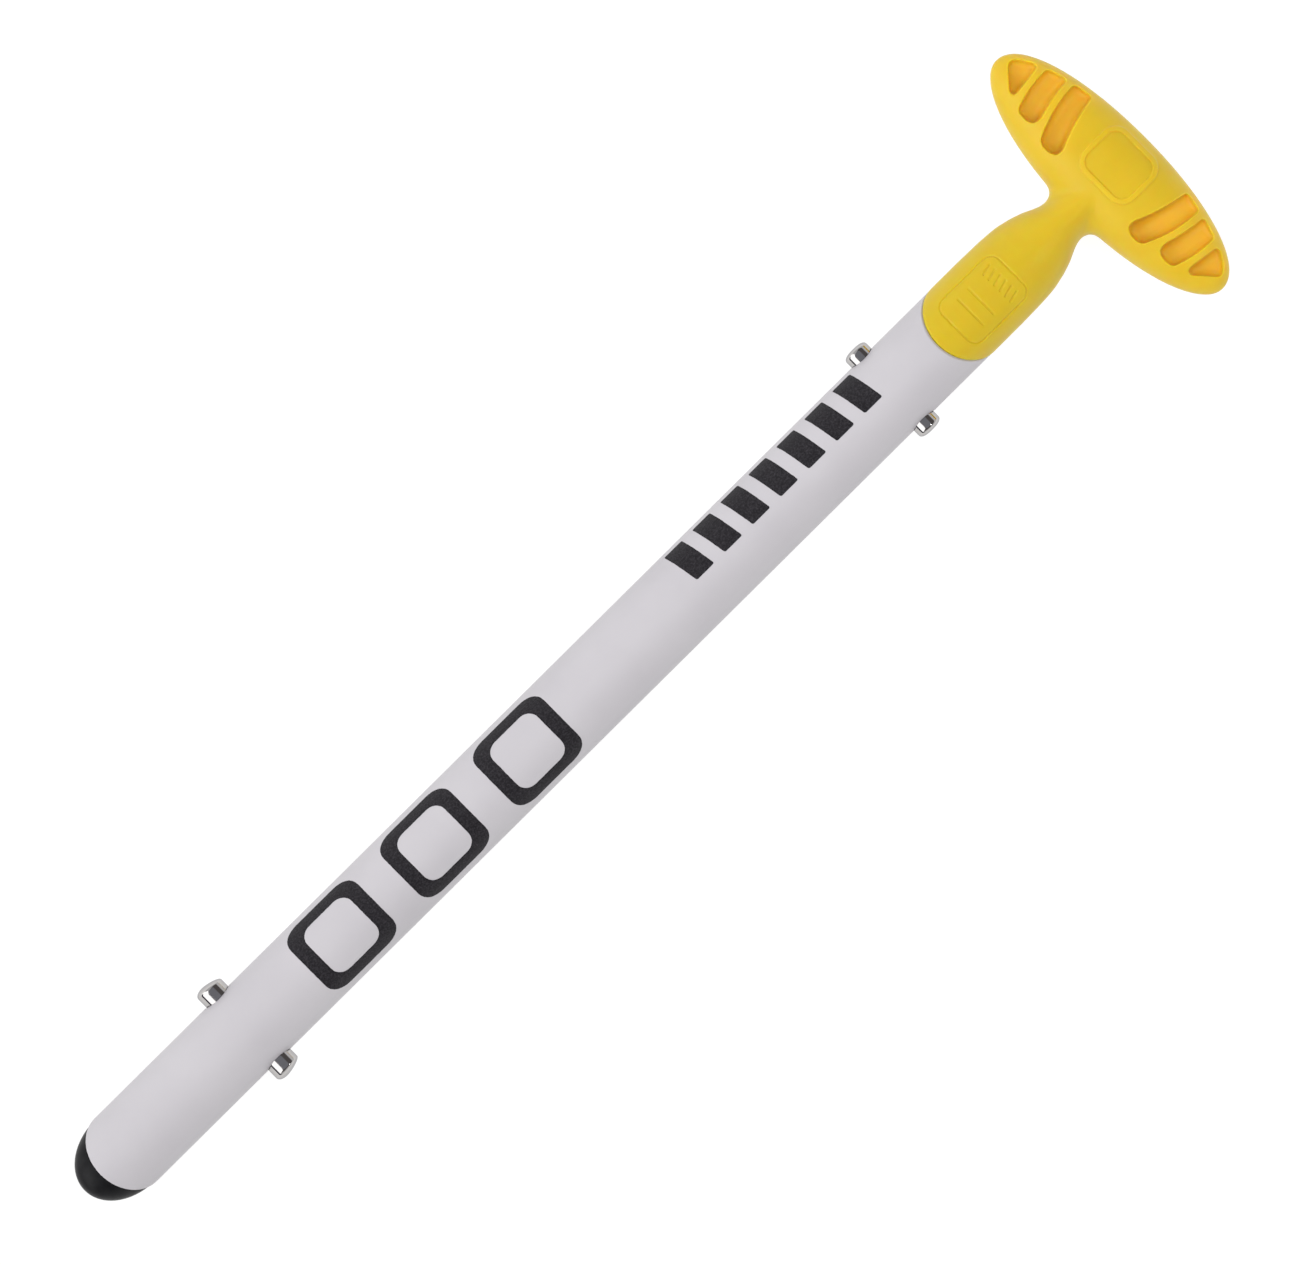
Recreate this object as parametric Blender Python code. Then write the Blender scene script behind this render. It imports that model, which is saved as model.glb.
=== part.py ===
"""Shovel shaft with a T-grip, lying on its back: run with blender --background --python part.py

A round tube with both ends cut on a slant, a domed plug in its lower end, a moulded T-grip on its
upper end, and two double-ended spring clips whose round buttons stand out of its sides.
Metres. +X runs up the shaft to the grip, Y along the T-bar, and +Z out of the front face.
"""
import math

import bmesh
import bpy
from mathutils import Vector

# Whole object. Stations are distances along the shaft, from the tip of the plug.
LENGTH = 0.5052
GAP = 0.0003                    # clearance between touching pieces

# Tube
TUBE_R = 0.0150
TUBE_WALL = 0.0008
BORE_R = TUBE_R - TUBE_WALL
SEGMENTS = 64
AXIS_Z = TUBE_R * math.cos(math.pi / SEGMENTS)      # the tube's lowest facet lies on z = 0
CUT_SLOPE = 0.77                # both ends lean this much: the front reaches nearer the tip
TUBE_START = 0.0190             # where each slanted cut crosses the axis
TUBE_END = 0.4166

# End plug
PLUG_R = BORE_R - GAP
DOME_HEIGHT = math.sqrt(TUBE_START ** 2 - (CUT_SLOPE * PLUG_R) ** 2)    # leans to just touch station 0
DOME_STEPS = 10
SHANK_LENGTH = 0.026
SHANK_BORE_R = 0.0115
PLUG_FLOOR = 0.003              # thickness left behind the dome's base

# Grip
CUT_GAP = GAP * math.hypot(1.0, CUT_SLOPE)          # GAP square to a slanted cut, along X
SPIGOT_START = 0.3925
SPIGOT_BORE_R = 0.0100
BORE_TAPER = 0.436              # the bore narrows to half from here on
BORE_END = 0.452
BAR_UP = 0.0174                 # the bar's height above its centre line
BAR_DOWN = 0.0181               # and below it
BAR_OUT = 0.0544                # half-length
BAR_DEPTH = AXIS_Z              # half-depth
BAR_STATION = LENGTH - BAR_UP
BAR_POWER = 2.1                 # squareness of the outline's upper half; the lower half is an ellipse
BAR_RINGS = 28
BAR_SEGMENTS = 32
# The stem's rings turn from the slant of the tube's cut to square: station, share of the slant
STEM_RINGS = ((TUBE_END + CUT_GAP, 1.0), (0.4285, 0.70), (0.4375, 0.40), (0.4445, 0.15), (0.4505, 0.0))
# Stem half-widths: station, across (Y) and in depth (Z)
STEM_PROFILE = (
    (0.4050, 0.01512, 0.01500), (0.4310, 0.01512, 0.01492), (0.4404, 0.01490, 0.01475),
    (0.4481, 0.01430, 0.01435), (0.4532, 0.01308, 0.01390), (0.4590, 0.01105, 0.01340),
    (0.4625, 0.00925, 0.01310), (0.4650, 0.00875, 0.01295), (0.4675, 0.00945, 0.01285),
    (0.4688, 0.01080, 0.01282), (0.4700, 0.01350, 0.01278), (0.4840, 0.01350, 0.01200),
)

# Pockets in the bar, measured out along it and up from its centre line. Their walls are arcs: centre,
# inner wall radius, outer wall radius (None follows the bar's outline), top and bottom heights, and
# half the thickness of the web left between the front pocket and the back one
POCKETS = (
    ((-0.0300, 0.0175), 0.0523, 0.0602, 0.0132, -0.0095, 0.0052),
    ((-0.0128, 0.0115), 0.0451, 0.0526, 0.0105, -0.0074, 0.0042),
    ((-0.0128, 0.0115), 0.0556, None, 0.0072, -0.0042, 0.0022),
)
END_POCKET_INSET = 0.0034
POCKET_STEPS = 6
POCKET_CORNER = 0.0012

# Spring clips: a U of flat strip inside the tube, with a round button on the end of each arm
STRIP = 0.0009                  # strip thickness
STRIP_HALF_WIDTH = 0.0045       # strip half-width, in depth
ARM_Y = 0.0120                  # distance of each arm from the axis
BEND_STRAIGHT = 0.006           # straight part of the bend, up to each arm
PAD_MARGIN = 0.0009             # how far the arm's round end reaches past its button
HOLE_SPARE = 0.0003             # extra length of each hole away from the bend, for the arm's swing
BUTTON_SEGMENTS = 32
PAD_STEPS = 24
BEND_STEPS = 16
CAP_STEPS = 7
# station of the bend, button's lower and upper edges, height above the tube of the button's straight
# wall and of its top, squareness of its rounded cap, and how far the cap's top leans towards the tip
CLIPS = {
    "lower": (0.1290, 0.0726, 0.0830, 0.00335, 0.00572, 1.8, 0.0018),
    "upper": (0.3350, 0.3798, 0.3892, 0.00210, 0.00420, 2.6, 0.0),
}


def at(station):
    """X of a station along the shaft."""
    return station - LENGTH / 2


def make_material(name, color, roughness, metallic=0.0):
    material = bpy.data.materials.new(name)
    material.use_nodes = True
    shader = material.node_tree.nodes["Principled BSDF"]
    shader.inputs["Base Color"].default_value = (*color, 1.0)
    shader.inputs["Roughness"].default_value = roughness
    shader.inputs["Metallic"].default_value = metallic
    return material


def make_object(name, bm, material, origin=Vector((0.0, 0.0, 0.0)), sharp_angle=35.0):
    """Mesh object with its origin at a point; the mesh's points are given in world space."""
    bmesh.ops.translate(bm, verts=bm.verts, vec=-origin)
    mesh = bpy.data.meshes.new(name)
    bm.to_mesh(mesh)
    bm.free()
    mesh.shade_smooth()
    mesh.set_sharp_from_angle(angle=math.radians(sharp_angle))
    mesh.materials.append(material)
    obj = bpy.data.objects.new(name, mesh)
    obj.location = origin
    bpy.context.scene.collection.objects.link(obj)
    return obj


def make_cutter(name, bm, target, operation="DIFFERENCE"):
    """Hidden helper object and the Boolean that applies it to the target."""
    mesh = bpy.data.meshes.new(name)
    bm.to_mesh(mesh)
    bm.free()
    helper = bpy.data.objects.new(name, mesh)
    helper.location = target.location
    helper.hide_render = True
    helper.display_type = "WIRE"
    bpy.context.scene.collection.objects.link(helper)
    boolean = target.modifiers.new(name, "BOOLEAN")
    boolean.operation = operation
    boolean.solver = "EXACT"
    boolean.object = helper
    return helper


def ring(bm, station, half_y, half_z, slope=0.0):
    """Closed ring of points about the shaft's axis, on a plane that leans by slope."""
    points = []
    for k in range(SEGMENTS):
        angle = 2 * math.pi * (k + 0.5) / SEGMENTS
        z = half_z * math.sin(angle)
        points.append(bm.verts.new((at(station) - slope * z, half_y * math.cos(angle), AXIS_Z + z)))
    return points


def bridge(bm, rings, closed=False):
    """Quads between each ring and the next; closed joins the last ring to the first."""
    pairs = list(zip(rings, rings[1:]))
    if closed:
        pairs.append((rings[-1], rings[0]))
    for a, b in pairs:
        count = len(a)
        for k in range(count):
            bm.faces.new((a[k], a[(k + 1) % count], b[(k + 1) % count], b[k]))


def faces_out(bm):
    bmesh.ops.recalc_face_normals(bm, faces=bm.faces)


def prism(bm, outline, low, high):
    """Closed prism on an outline in the XY plane, from one height to another."""
    bottom = [bm.verts.new((x, y, low)) for x, y in outline]
    top = [bm.verts.new((x, y, high)) for x, y in outline]
    bridge(bm, [bottom, top])
    bm.faces.new(bottom)
    bm.faces.new(top)


def plate(bm, outline, low, high):
    """Closed prism on an outline in the XZ plane, from one Y to another."""
    near = [bm.verts.new((x, low, z)) for x, z in outline]
    far = [bm.verts.new((x, high, z)) for x, z in outline]
    bridge(bm, [near, far])
    bm.faces.new(near)
    bm.faces.new(far)


def arc(centre_x, centre_z, radius, start, end, steps):
    """Points of an arc in the XZ plane."""
    angles = [start + (end - start) * k / steps for k in range(steps + 1)]
    return [(centre_x + radius * math.cos(a), centre_z + radius * math.sin(a)) for a in angles]


def ribbon(path, thickness):
    """Outline of a strip of even thickness along a path."""
    left, right = [], []
    for k, point in enumerate(path):
        before = path[max(k - 1, 0)]
        after = path[min(k + 1, len(path) - 1)]
        first = (point - before).normalized() if k else (after - point).normalized()
        second = (after - point).normalized() if k < len(path) - 1 else first
        tangent = (first + second).normalized()
        normal = Vector((-tangent.y, tangent.x))
        reach = thickness / 2 / max(tangent.dot(first), 0.5)
        left.append(point + normal * reach)
        right.append(point - normal * reach)
    return left + right[::-1]


def shaft_tube(material):
    bm = bmesh.new()
    corners = ((TUBE_START, TUBE_R), (TUBE_END, TUBE_R), (TUBE_END, BORE_R), (TUBE_START, BORE_R))
    bridge(bm, [ring(bm, station, radius, radius, CUT_SLOPE) for station, radius in corners], closed=True)
    faces_out(bm)
    tube = make_object("shaft_tube", bm, material)
    for name, (bend, low, high, *_) in CLIPS.items():
        away = 1 if bend < low else -1
        radius = (high - low) / 2 + GAP
        middle = at((low + high) / 2)
        ends = sorted((middle, middle + away * HOLE_SPARE))
        steps = BUTTON_SEGMENTS // 2
        outline = arc(ends[1], AXIS_Z, radius, -math.pi / 2, math.pi / 2, steps)
        outline += arc(ends[0], AXIS_Z, radius, math.pi / 2, 3 * math.pi / 2, steps)
        cutter = bmesh.new()
        plate(cutter, outline, -2 * TUBE_R, 2 * TUBE_R)
        faces_out(cutter)
        make_cutter(f"{name}_hole_cutter", cutter, tube)
    return tube


def end_plug(material):
    """Slanted dome on a hollow shank; every ring lies parallel to the tube's cut."""
    shank_end, inner_floor = TUBE_START + SHANK_LENGTH, TUBE_START + PLUG_FLOOR
    bm = bmesh.new()
    rings = []
    for k in range(1, DOME_STEPS + 1):
        angle = math.pi / 2 * k / DOME_STEPS
        radius = PLUG_R * math.sin(angle)
        rings.append(ring(bm, TUBE_START - DOME_HEIGHT * math.cos(angle), radius, radius, CUT_SLOPE))
    for station, radius in ((shank_end, PLUG_R), (shank_end, SHANK_BORE_R), (inner_floor, SHANK_BORE_R)):
        rings.append(ring(bm, station, radius, radius, CUT_SLOPE))
    bridge(bm, rings)
    apex = bm.verts.new((at(TUBE_START - DOME_HEIGHT), 0.0, AXIS_Z))
    floor = bm.verts.new((at(inner_floor), 0.0, AXIS_Z))
    for tip, edge in ((apex, rings[0]), (floor, rings[-1])):
        for k in range(SEGMENTS):
            bm.faces.new((tip, edge[k], edge[(k + 1) % SEGMENTS]))
    faces_out(bm)
    return make_object("end_plug", bm, material)


def stem_half_widths(station):
    """Half-widths of the grip's stem at a station, read from its profile."""
    for (s0, y0, z0), (s1, y1, z1) in zip(STEM_PROFILE, STEM_PROFILE[1:]):
        if station <= s1:
            t = max(0.0, (station - s0) / (s1 - s0))
            return y0 + (y1 - y0) * t, z0 + (z1 - z0) * t
    return STEM_PROFILE[-1][1:]


def stem_ring(bm, station, slope):
    """Ring of the stem on a plane that leans by slope; its widths follow the profile point by point."""
    points = []
    for k in range(SEGMENTS):
        angle = 2 * math.pi * (k + 0.5) / SEGMENTS
        here = station - slope * TUBE_R * math.sin(angle)
        half_y, half_z = stem_half_widths(here)
        points.append(bm.verts.new((at(here), half_y * math.cos(angle), AXIS_Z + half_z * math.sin(angle))))
    return points


def grip_stem(bm):
    """Spigot, barrel and neck, hollow from the spigot's open end."""
    shoulder = STEM_RINGS[0][0]
    rings = [ring(bm, SPIGOT_START, PLUG_R, PLUG_R), ring(bm, shoulder, PLUG_R, PLUG_R, CUT_SLOPE)]
    rings += [stem_ring(bm, station, CUT_SLOPE * share) for station, share in STEM_RINGS]
    rings += [stem_ring(bm, row[0], 0.0) for row in STEM_PROFILE if row[0] > STEM_RINGS[-1][0]]
    bridge(bm, rings)
    bm.faces.new(rings[-1])
    hollow = [ring(bm, SPIGOT_START, SPIGOT_BORE_R, SPIGOT_BORE_R),
              ring(bm, BORE_TAPER, SPIGOT_BORE_R, SPIGOT_BORE_R),
              ring(bm, BORE_END, SPIGOT_BORE_R / 2, SPIGOT_BORE_R / 2)]
    bridge(bm, [rings[0]] + hollow)
    bm.faces.new(hollow[-1])
    faces_out(bm)


def bar_height(out, up):
    """Height of the bar's outline over (or under) its centre line, at a share of its half-length."""
    half, power = (BAR_UP, BAR_POWER) if up else (BAR_DOWN, 2.0)
    return half * (1 - abs(out) ** power) ** (1 / power)


def bar_reach(height):
    """Distance of the bar's outline from the middle, at a height above its centre line."""
    half, power = (BAR_UP, BAR_POWER) if height > 0 else (BAR_DOWN, 2.0)
    return BAR_OUT * (1 - abs(height / half) ** power) ** (1 / power)


def grip_bar(bm):
    """Long rounded bar of the T; its cross sections are made of half ellipses."""
    rings = []
    for j in range(1, BAR_RINGS):
        out = math.cos(math.pi * j / BAR_RINGS)
        depth = BAR_DEPTH * math.sqrt(1 - out ** 2)
        points = []
        for k in range(BAR_SEGMENTS):
            angle = 2 * math.pi * k / BAR_SEGMENTS
            height = bar_height(out, math.cos(angle) > 0) * math.cos(angle)
            points.append(bm.verts.new((at(BAR_STATION) + height, BAR_OUT * out,
                                        AXIS_Z + depth * math.sin(angle))))
        rings.append(points)
    bridge(bm, rings)
    for side, edge in ((1, rings[0]), (-1, rings[-1])):
        tip = bm.verts.new((at(BAR_STATION), side * BAR_OUT, AXIS_Z))
        for k in range(BAR_SEGMENTS):
            bm.faces.new((tip, edge[k], edge[(k + 1) % BAR_SEGMENTS]))
    faces_out(bm)


def pocket_outline(centre, inner, outer, top, bottom):
    """Outline of one pocket, (out along the bar, up), between two arcs."""
    centre_out, centre_up = centre

    def wall(radius, height):
        if radius is None:
            return bar_reach(height) - END_POCKET_INSET, height
        return centre_out + math.sqrt(radius ** 2 - (height - centre_up) ** 2), height

    heights = [bottom + (top - bottom) * k / POCKET_STEPS for k in range(POCKET_STEPS + 1)]
    return [wall(inner, h) for h in heights] + [wall(outer, h) for h in reversed(heights)]


def t_grip(material):
    bm = bmesh.new()
    grip_stem(bm)
    grip = make_object("t_grip", bm, material)
    bar = bmesh.new()
    grip_bar(bar)
    make_cutter("grip_bar_union", bar, grip, "UNION")
    pockets = bmesh.new()
    for *shape, web in POCKETS:
        for side in (1, -1):
            outline = [(at(BAR_STATION) + up, side * out) for out, up in pocket_outline(*shape)]
            for low, high in ((web, 2 * BAR_DEPTH), (-2 * BAR_DEPTH, -web)):
                prism(pockets, outline, AXIS_Z + low, AXIS_Z + high)
    faces_out(pockets)
    upright = [e for e in pockets.edges if abs(e.verts[0].co.z - e.verts[1].co.z) > BAR_DEPTH]
    corners = [e for e in upright if e.calc_face_angle(0.0) > math.radians(50)]
    bmesh.ops.bevel(pockets, geom=corners, offset=POCKET_CORNER, segments=3, profile=0.5, affect="EDGES")
    faces_out(pockets)
    make_cutter("pocket_cutter", pockets, grip)
    return grip


def clip_bend(name, bend_station, direction, material):
    """The closed end of a clip: a half circle with a short straight towards each arm."""
    turn = bend_station - direction * BEND_STRAIGHT
    path = [Vector((at(bend_station), ARM_Y))]
    for k in range(BEND_STEPS + 1):
        angle = math.pi * k / BEND_STEPS
        path.append(Vector((at(turn) - direction * ARM_Y * math.sin(angle), ARM_Y * math.cos(angle))))
    path.append(Vector((at(bend_station), -ARM_Y)))
    bm = bmesh.new()
    prism(bm, ribbon(path, STRIP), AXIS_Z - STRIP_HALF_WIDTH, AXIS_Z + STRIP_HALF_WIDTH)
    faces_out(bm)
    return make_object(f"{name}_clip_bend", bm, material)


def button(bm, middle, side, radius, wall_top, cap_top, power, lean):
    """Round button along Y, from inside its arm to a rounded cap that may lean towards the tip."""
    profile = [(ARM_Y, 1.0, 0.0), (TUBE_R + wall_top, 1.0, 0.0)]
    for k in range(1, CAP_STEPS):
        angle = math.pi / 2 * k / CAP_STEPS
        rise = math.sin(angle) ** (2 / power)
        profile.append((TUBE_R + wall_top + (cap_top - wall_top) * rise,
                        math.cos(angle) ** (2 / power), lean * rise ** 1.5))
    rings = []
    for y, share, shift in profile:
        points = []
        for k in range(BUTTON_SEGMENTS):
            angle = 2 * math.pi * k / BUTTON_SEGMENTS
            points.append(bm.verts.new((middle - shift + radius * share * math.cos(angle), side * y,
                                        AXIS_Z + radius * share * math.sin(angle))))
        rings.append(points)
    bridge(bm, rings)
    bm.faces.new(rings[0])
    apex = bm.verts.new((middle - lean, side * (TUBE_R + cap_top), AXIS_Z))
    for k in range(BUTTON_SEGMENTS):
        bm.faces.new((apex, rings[-1][k], rings[-1][(k + 1) % BUTTON_SEGMENTS]))


def clip_arm(name, side_name, side, spec, material):
    """One arm of a clip with its button; its origin is on the axis that it flexes about."""
    bend, low, high, *cap = spec
    direction = 1 if bend < low else -1
    radius = (high - low) / 2
    start, middle = at(bend + direction * GAP), at((low + high) / 2)
    hinge = Vector((start, side * ARM_Y, AXIS_Z))

    pad = radius + PAD_MARGIN
    neck = math.asin(STRIP_HALF_WIDTH / pad)
    facing = math.pi if direction > 0 else 0.0          # from the button towards the bend
    outline = [(start, AXIS_Z + end * direction * STRIP_HALF_WIDTH) for end in (-1, 1)]
    outline += arc(middle, AXIS_Z, pad, facing - neck, facing + neck - 2 * math.pi, PAD_STEPS)
    bm = bmesh.new()
    plate(bm, outline, *sorted((side * (ARM_Y - STRIP / 2), side * (ARM_Y + STRIP / 2))))
    faces_out(bm)
    arm = make_object(f"{name}_clip_arm_{side_name}", bm, material, hinge)

    pin = bmesh.new()
    button(pin, middle, side, radius, *cap)
    bmesh.ops.translate(pin, verts=pin.verts, vec=-hinge)
    faces_out(pin)
    make_cutter(f"{arm.name}_button_union", pin, arm, "UNION")
    return arm


def build():
    for obj in list(bpy.data.objects):
        bpy.data.objects.remove(obj)
    shaft_tube(make_material("coated_tube", (0.70, 0.68, 0.70), 0.45))
    end_plug(make_material("black_plug", (0.012, 0.012, 0.013), 0.45))
    t_grip(make_material("yellow_grip", (0.76, 0.50, 0.035), 0.45))
    steel = make_material("spring_steel", (0.62, 0.62, 0.63), 0.28, 1.0)
    for name, spec in CLIPS.items():
        direction = 1 if spec[0] < spec[1] else -1
        clip_bend(name, spec[0], direction, steel)
        for side_name, side in (("left", 1), ("right", -1)):
            clip_arm(name, side_name, side, spec, steel)


build()
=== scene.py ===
"""Looks of the shovel shaft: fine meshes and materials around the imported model.

Stations are distances along the shaft from its tip, in metres.
"""
import math

import bmesh
import bpy
import numpy as np
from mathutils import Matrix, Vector, noise


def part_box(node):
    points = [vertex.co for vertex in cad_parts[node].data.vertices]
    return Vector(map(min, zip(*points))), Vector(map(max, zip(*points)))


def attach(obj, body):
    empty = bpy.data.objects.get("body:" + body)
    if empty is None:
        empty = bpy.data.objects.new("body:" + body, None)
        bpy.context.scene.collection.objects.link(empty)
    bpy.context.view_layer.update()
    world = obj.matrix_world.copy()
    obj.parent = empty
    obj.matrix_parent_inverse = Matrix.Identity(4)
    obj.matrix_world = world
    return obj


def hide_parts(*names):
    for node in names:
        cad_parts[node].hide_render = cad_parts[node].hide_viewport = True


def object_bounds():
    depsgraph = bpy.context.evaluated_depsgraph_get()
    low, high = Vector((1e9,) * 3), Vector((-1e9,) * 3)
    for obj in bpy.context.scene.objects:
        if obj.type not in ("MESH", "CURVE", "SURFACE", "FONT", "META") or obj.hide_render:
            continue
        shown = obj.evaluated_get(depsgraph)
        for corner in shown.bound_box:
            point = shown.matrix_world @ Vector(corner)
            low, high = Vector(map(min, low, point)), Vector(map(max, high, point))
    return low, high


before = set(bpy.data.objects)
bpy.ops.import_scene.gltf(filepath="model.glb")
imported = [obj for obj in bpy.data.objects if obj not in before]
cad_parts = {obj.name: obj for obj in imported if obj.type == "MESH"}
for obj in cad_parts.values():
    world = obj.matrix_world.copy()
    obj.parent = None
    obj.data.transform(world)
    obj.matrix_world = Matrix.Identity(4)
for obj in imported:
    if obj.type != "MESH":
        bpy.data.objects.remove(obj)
cad_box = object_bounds()

MM = 0.001

# ---------------------------------------------------------------- dimensions
TIP_X = cad_box[0][0]
TOP_X = cad_box[1][0]
TUBE_LOW, TUBE_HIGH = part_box("shaft_tube")
AXIS_Z = (TUBE_LOW[2] + TUBE_HIGH[2]) / 2
TUBE_R = (TUBE_HIGH[2] - TUBE_LOW[2]) / 2 - 0.03 * MM     # a hair inside the CAD prism
WALL = 0.8 * MM
BORE_R = TUBE_R - WALL
GAP = 0.3 * MM                          # between neighbouring pieces

CUT_SLOPE = 0.77                        # how far the tube's two slanted cuts lean, per unit of height
CUT_START = 19.0 * MM                   # stations where the cuts cross the axis
CUT_END = 416.6 * MM
CUT_GAP = GAP * math.hypot(1.0, CUT_SLOPE)

BAR_UP, BAR_DOWN = 17.4 * MM, 18.1 * MM     # the T-bar's height above its centre line, and below
BAR_X = TOP_X - BAR_UP
BAR_OUT = 54.35 * MM                    # half-length
BAR_DEPTH = AXIS_Z - 0.52 * MM          # half-depth
BAR_POWER = 2.2                         # squareness of the bar's section

# The neck and barrel: station, half-width across, half-depth.
STEM = np.array((
    (392.0, 15.08, 14.93), (406.0, 15.08, 14.93), (420.0, 15.08, 14.93), (431.0, 15.05, 14.87),
    (440.4, 14.83, 14.70), (445.0, 14.55, 14.50), (448.1, 14.20, 14.30), (453.2, 13.03, 13.85),
    (457.5, 11.58, 13.45), (461.0, 9.90, 13.15), (463.5, 8.90, 12.95), (466.0, 8.50, 12.80),
    (470.0, 8.50, 12.65), (490.0, 8.50, 12.00))) * MM
STEM_ROUND = 2.0 * MM                   # how softly the stem ends inside the bar
RIM_ROUND = 0.8 * MM                    # rounding of the barrel's slanted rim
NECK_BLEND = (5.0 * MM, 1.3 * MM)       # how softly the neck meets the bar: at its sides, in front and behind
BLEND_START, BLEND_SPAN = 5.0 * MM, 5.5 * MM    # the depths between which the blend changes

SPIGOT_R = BORE_R - GAP                 # the hollow spigot inside the tube
SPIGOT_START, SPIGOT_END = 392.5 * MM, 440.0 * MM
CORE_R = 10.0 * MM

# The two long pockets on each side of the bar lie between two arcs, the bar's outline, a straight lower
# edge and a line across one corner. The coordinates run outwards along the bar and upwards from its middle.
LONG_POCKETS = (
    {"centre": (-30.0 * MM, 17.5 * MM), "inner": 52.1 * MM, "outer": 60.9 * MM, "margin": 1.4 * MM,
     "low": -9.9 * MM, "corner": ((15.9 * MM, -6.6 * MM), (18.1 * MM, -9.9 * MM)), "web": 5.2 * MM},
    {"centre": (-12.8 * MM, 11.5 * MM), "inner": 44.7 * MM, "outer": 53.8 * MM, "margin": 1.5 * MM,
     "low": -7.8 * MM, "corner": ((28.9 * MM, -4.6 * MM), (31.0 * MM, -7.9 * MM)), "web": 4.2 * MM},
)
POCKET_CORNER = 2.2 * MM                # rounding of their corners in plan
# The end pocket is a rounded triangle between two lines and the bar's outline.
END_SIDE = ((42.2 * MM, 8.0 * MM), (40.8 * MM, -4.6 * MM))
END_UNDER = ((41.2 * MM, -7.5 * MM), (52.0 * MM, 1.8 * MM))
END_MARGIN, END_WEB = 1.4 * MM, 2.2 * MM
END_LOW_CORNER, END_CORNER = 3.8 * MM, 3.0 * MM
POCKET_DRAFT = 0.10
POCKET_FILLET = 2.8 * MM                # between a pocket's walls and its floor
POCKET_RIM = 0.6 * MM
WEB_SPAN = 19.0 * MM                    # the web between front and back pockets would thin to nothing here

PANEL_CENTRE = 4.3 * MM                 # raised ring on the bar's front and back, above its middle
PANEL_HALF = (11.0 * MM, 9.6 * MM)
PANEL_CORNER = 5.2 * MM
PANEL_RAISE = 0.5 * MM
PANEL_LINE, PANEL_SOFT = 0.90 * MM, 0.3 * MM

BADGE_STATION = 427.5 * MM              # plain badge engraved on the barrel
BADGE_HALF = (10.4 * MM, 13.4 * MM)
BADGE_CORNER = 4.5 * MM
BADGE_DEPTH = 0.3 * MM
BADGE_ROUND = 14.5 * MM                 # the barrel's radius that the badge is wrapped on
BADGE_LINE, BADGE_SOFT = 0.22 * MM, 0.18 * MM
BADGE_TOP = 445.0 * MM                  # no part of the badge lies past this station
BADGE_STROKES, BADGE_PITCH, BADGE_LEAN = 6, 2.6 * MM, 0.25
BADGE_STROKE_UP, BADGE_STROKE_HALF = 8.0 * MM, 2.0 * MM
BADGE_LINES_UP, BADGE_LINE_HALF = (-1.0 * MM, -6.0 * MM), 6.0 * MM
BADGE_THIN = 0.1 * MM

# The spring clips: stations of the bend and of the button's two sides, how far the button's straight wall
# and its cap stand out of the tube, the cap's squareness, and how far the cap leans towards the tip.
CLIPS = (
    {"name": "lower", "bend": 129.0 * MM, "low": 72.6 * MM, "high": 83.0 * MM,
     "wall": 3.35 * MM, "cap": 5.72 * MM, "power": 1.8, "lean": 1.8 * MM},
    {"name": "upper", "bend": 335.0 * MM, "low": 379.8 * MM, "high": 389.2 * MM,
     "wall": 2.10 * MM, "cap": 4.20 * MM, "power": 2.6, "lean": 0.0},
)
STRIP = 0.9 * MM                        # thickness of the strip
STRIP_HALF = 4.5 * MM                   # half its width
ARM_Y = 12.0 * MM                       # from the tube's axis to the middle of the strip
PAD_MARGIN = 0.9 * MM                   # the round pad's rim around its button
HOLE_SPARE = 0.3 * MM                   # how much longer than round the tube's holes are

PRINT_R = TUBE_R + 0.02 * MM            # the printed marks stand a hair proud of the coating
PRINT_DEPTH = 0.015 * MM
FRAME_STATIONS = (122.5, 166.7, 210.9)
FRAME_HALF, FRAME_CORNER = (16.0 * MM, 16.2 * MM), 7.5 * MM
FRAME_HOLE = (0.655, 0.665)             # the frame's opening, as shares of its size
BARS_START, BARS_END, BARS_COUNT = 290.8, 379.0, 7
BARS_SHARE = 0.62                       # how much of the pitch a bar takes up
BARS_ARC, BARS_HALF_ARC = 9.3 * MM, 8.5 * MM
BARS_CORNER, BARS_LEAN = 0.7 * MM, -0.16

# The picture, the lights and the room that the polished steel reflects.
SHAFT_ANGLE = math.radians(44.75)       # how far the shaft leans in the picture
FRAME_WIDTH = 439.5 * MM                # what the picture's width covers at the shaft
CAMERA_STATION, CAMERA_Y = 268.4 * MM, -0.6 * MM
LENS = 1200.0                           # very long, for a view square to the tube
SENSOR = 36.0
FLOOR_HALF = 60.0
KEY_POWER, FILL_POWER, TOP_POWER = 3.0, 4.0, 21.9
CEILING = (0.24, 0.245, 0.275)          # behind the camera
ROOM = (0.115, 0.105, 0.105)            # around it
WALL_WHITE = (0.74, 0.74, 0.75)         # near the floor
SIDE_WHITE = (0.62, 0.62, 0.64)         # soft boxes beside the shaft
TIP_WHITE = (2.1, 2.1, 2.12)            # soft box beyond the tip
DARK_LINE = (0.05, 0.05, 0.07)          # gap under that soft box


def at(station):
    """X of a station along the shaft, measured from the tip."""
    return TIP_X + station


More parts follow.
